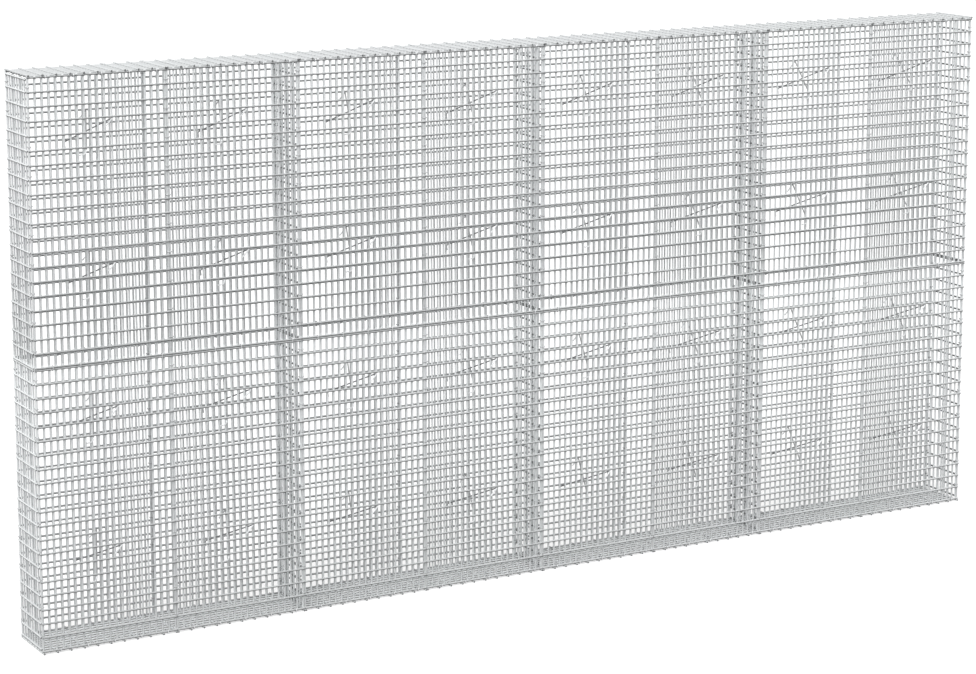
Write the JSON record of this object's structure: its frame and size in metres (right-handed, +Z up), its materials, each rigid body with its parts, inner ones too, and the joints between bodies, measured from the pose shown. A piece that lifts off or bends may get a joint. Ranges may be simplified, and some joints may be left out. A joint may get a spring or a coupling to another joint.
{
  "type": "gabion wall basket",
  "caption": "Long, thin gabion wall basket of welded wire mesh in bays and two tiers, with cross dividers, covers and hooked ties between the faces, standing empty on its base.",
  "frame": {"origin": "centre of the footprint, on the ground", "axes": "+X along the wall to the right seen from the front, +Y through the wall from front to back, +Z up"},
  "size_m": [4.0132, 0.2414, 2.0133],
  "materials": {
    "mesh_wire": "matt zinc coat",
    "tie_wire": "bright zinc coat"
  },
  "bodies": {
    "root": {"back_lower_bay_1": "mesh_wire", "back_lower_bay_2": "mesh_wire", "back_lower_bay_3": "mesh_wire", "back_lower_bay_4": "mesh_wire", "back_upper_bay_1": "mesh_wire", "back_upper_bay_2": "mesh_wire", "back_upper_bay_3": "mesh_wire", "back_upper_bay_4": "mesh_wire", "base_bay_1": "mesh_wire", "base_bay_2": "mesh_wire", "base_bay_3": "mesh_wire", "base_bay_4": "mesh_wire", "cover_bay_1": "mesh_wire", "cover_bay_2": "mesh_wire", "cover_bay_3": "mesh_wire", "cover_bay_4": "mesh_wire", "divider_1_lower": "mesh_wire", "divider_1_upper": "mesh_wire", "divider_2_lower": "mesh_wire", "divider_2_upper": "mesh_wire", "divider_3_lower": "mesh_wire", "divider_3_upper": "mesh_wire", "end_left_lower": "mesh_wire", "end_left_upper": "mesh_wire", "end_right_lower": "mesh_wire", "end_right_upper": "mesh_wire", "front_lower_bay_1": "mesh_wire", "front_lower_bay_2": "mesh_wire", "front_lower_bay_3": "mesh_wire", "front_lower_bay_4": "mesh_wire", "front_upper_bay_1": "mesh_wire", "front_upper_bay_2": "mesh_wire", "front_upper_bay_3": "mesh_wire", "front_upper_bay_4": "mesh_wire", "ties_lower_bay_1": "tie_wire", "ties_lower_bay_2": "tie_wire", "ties_lower_bay_3": "tie_wire", "ties_lower_bay_4": "tie_wire", "ties_upper_bay_1": "tie_wire", "ties_upper_bay_2": "tie_wire", "ties_upper_bay_3": "tie_wire", "ties_upper_bay_4": "tie_wire"}
  },
  "joints": []
}
